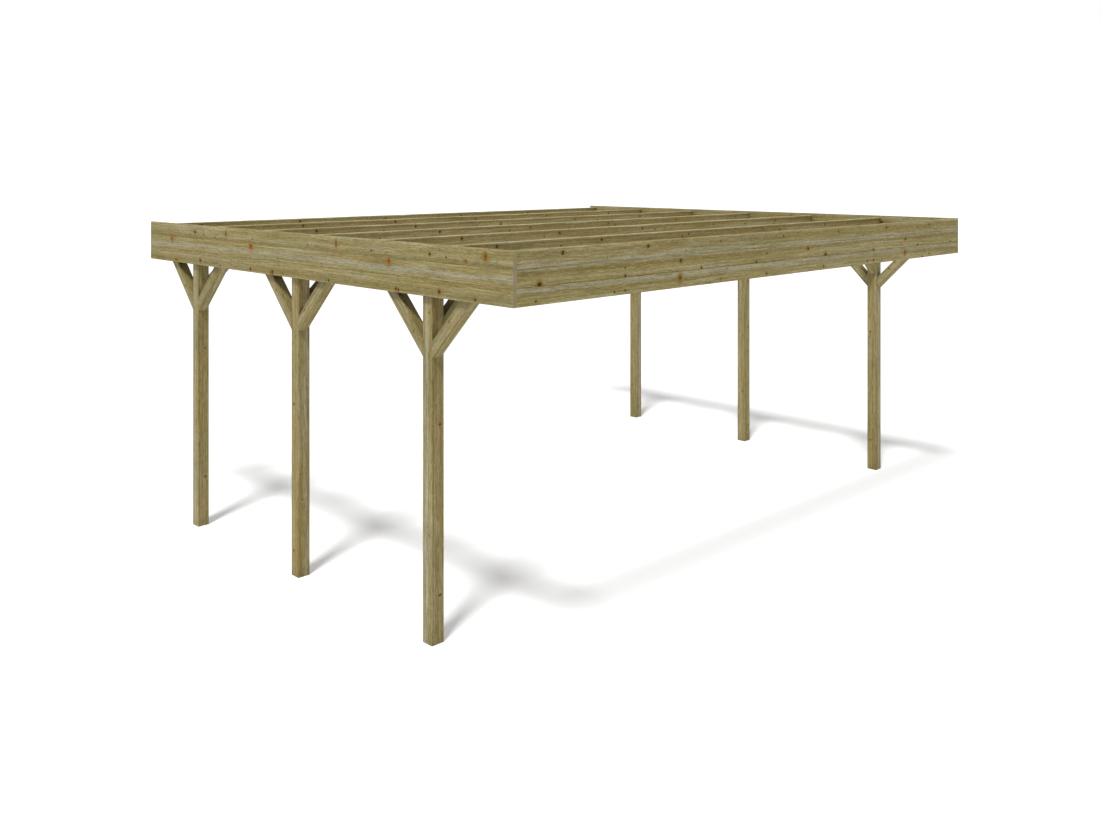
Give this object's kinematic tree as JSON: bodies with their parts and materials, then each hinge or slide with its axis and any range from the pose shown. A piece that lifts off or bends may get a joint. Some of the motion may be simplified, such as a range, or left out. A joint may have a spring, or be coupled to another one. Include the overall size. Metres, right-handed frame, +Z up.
{
  "type": "carport",
  "caption": "Flat-roof double carport frame in treated softwood: posts with knee braces, beams, cross joists and stacked fascia boards, roof left open.",
  "frame": {"origin": "middle of the footprint at ground level, under the centre of the overall box", "axes": "+X runs across the entrance to the right seen from the front, +Y from the front to the open rear, +Z up"},
  "size_m": [6, 5, 2.645],
  "materials": {
    "post_timber": "planed, pressure-treated softwood",
    "brace_timber": "planed, pressure-treated softwood",
    "beam_timber": "planed, pressure-treated softwood",
    "joist_timber": "planed, pressure-treated softwood",
    "fascia_timber": "planed, pressure-treated softwood"
  },
  "bodies": {
    "root": {"beam_left": "beam_timber", "beam_right": "beam_timber", "brace_front_left_forward": "brace_timber", "brace_front_left_inward": "brace_timber", "brace_front_left_rearward": "brace_timber", "brace_front_right_forward": "brace_timber", "brace_front_right_inward": "brace_timber", "brace_front_right_rearward": "brace_timber", "brace_middle_left_forward": "brace_timber", "brace_middle_left_inward": "brace_timber", "brace_middle_left_rearward": "brace_timber", "brace_middle_right_forward": "brace_timber", "brace_middle_right_inward": "brace_timber", "brace_middle_right_rearward": "brace_timber", "brace_rear_left_forward": "brace_timber", "brace_rear_left_inward": "brace_timber", "brace_rear_left_rearward": "brace_timber", "brace_rear_right_forward": "brace_timber", "brace_rear_right_inward": "brace_timber", "brace_rear_right_rearward": "brace_timber", "fascia_front_lower": "fascia_timber", "fascia_front_middle": "fascia_timber", "fascia_front_upper": "fascia_timber", "fascia_left_lower": "fascia_timber", "fascia_left_middle": "fascia_timber", "fascia_left_upper": "fascia_timber", "fascia_right_lower": "fascia_timber", "fascia_right_middle": "fascia_timber", "fascia_right_upper": "fascia_timber", "joist_fifth": "joist_timber", "joist_fourth": "joist_timber", "joist_front": "joist_timber", "joist_rear": "joist_timber", "joist_second": "joist_timber", "joist_sixth": "joist_timber", "joist_third": "joist_timber", "post_front_left": "post_timber", "post_front_right": "post_timber", "post_middle_left": "post_timber", "post_middle_right": "post_timber", "post_rear_left": "post_timber", "post_rear_right": "post_timber"}
  },
  "joints": []
}
